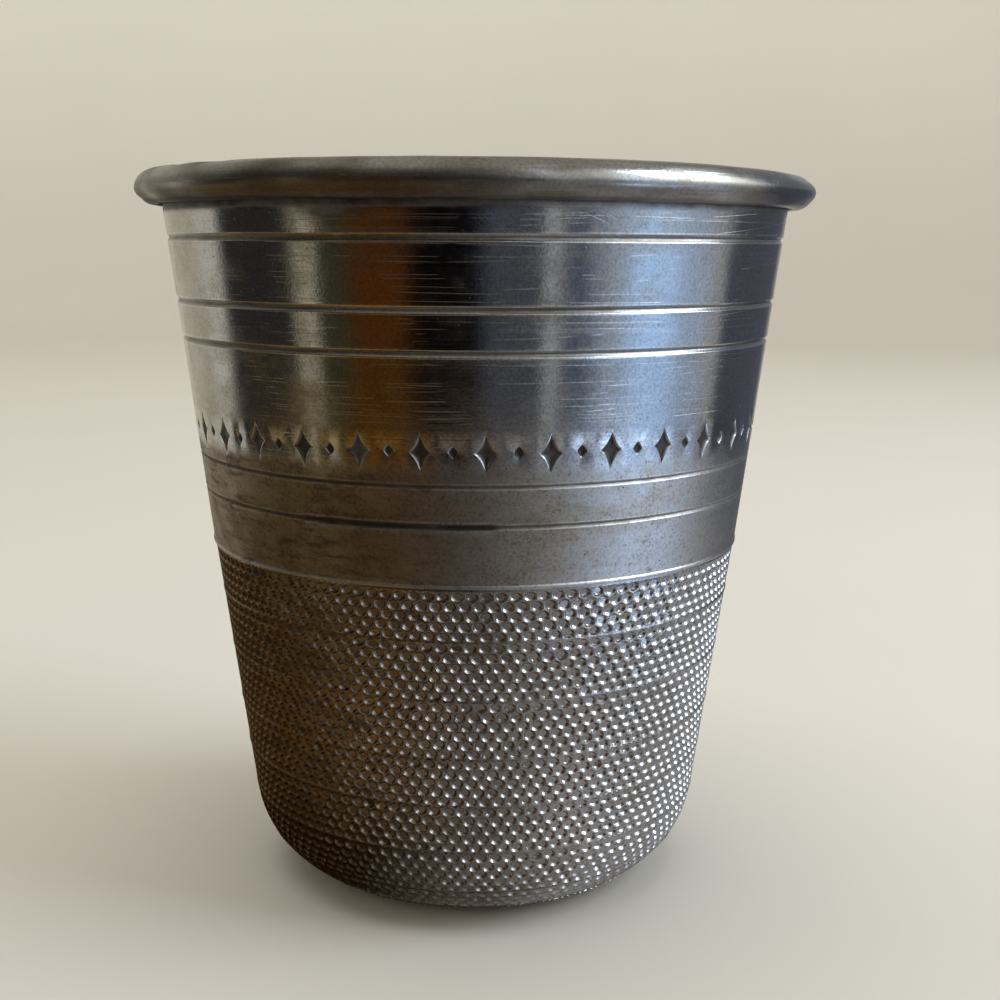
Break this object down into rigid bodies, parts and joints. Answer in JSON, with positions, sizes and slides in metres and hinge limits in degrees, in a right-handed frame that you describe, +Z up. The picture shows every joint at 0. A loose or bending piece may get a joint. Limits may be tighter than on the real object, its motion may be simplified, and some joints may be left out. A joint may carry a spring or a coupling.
{
  "type": "thimble-shaped spirit measure",
  "caption": "Small tapered metal drinking cup in the shape of a sewing thimble, with a rolled lip, scribed lines round a smooth wall and a dimpled, round-shouldered lower end.",
  "frame": {"origin": "centre of the flat foot, on the surface the cup stands on", "axes": "+Z up along the cup's turning axis towards the open mouth; -Y towards the viewer of the picture; +X to the viewer's right"},
  "size_m": [0.0508, 0.0508, 0.054],
  "materials": {
    "smooth_pewter": "dull grey pewter, turned and worn, with a little tarnish",
    "dimpled_pewter": "dull grey pewter, dimpled, dark tarnish in the dimples",
    "base_pewter": "dull grey pewter, satin",
    "tinned_wire": "tinned wire, hidden inside the lip",
    "soft_solder": "soft solder, satin"
  },
  "bodies": {
    "root": {"upper_wall": "smooth_pewter", "rim_wire": "tinned_wire", "dimpled_end": "dimpled_pewter", "base_disc": "base_pewter", "seam_solder": "soft_solder", "base_solder": "soft_solder"}
  },
  "joints": []
}
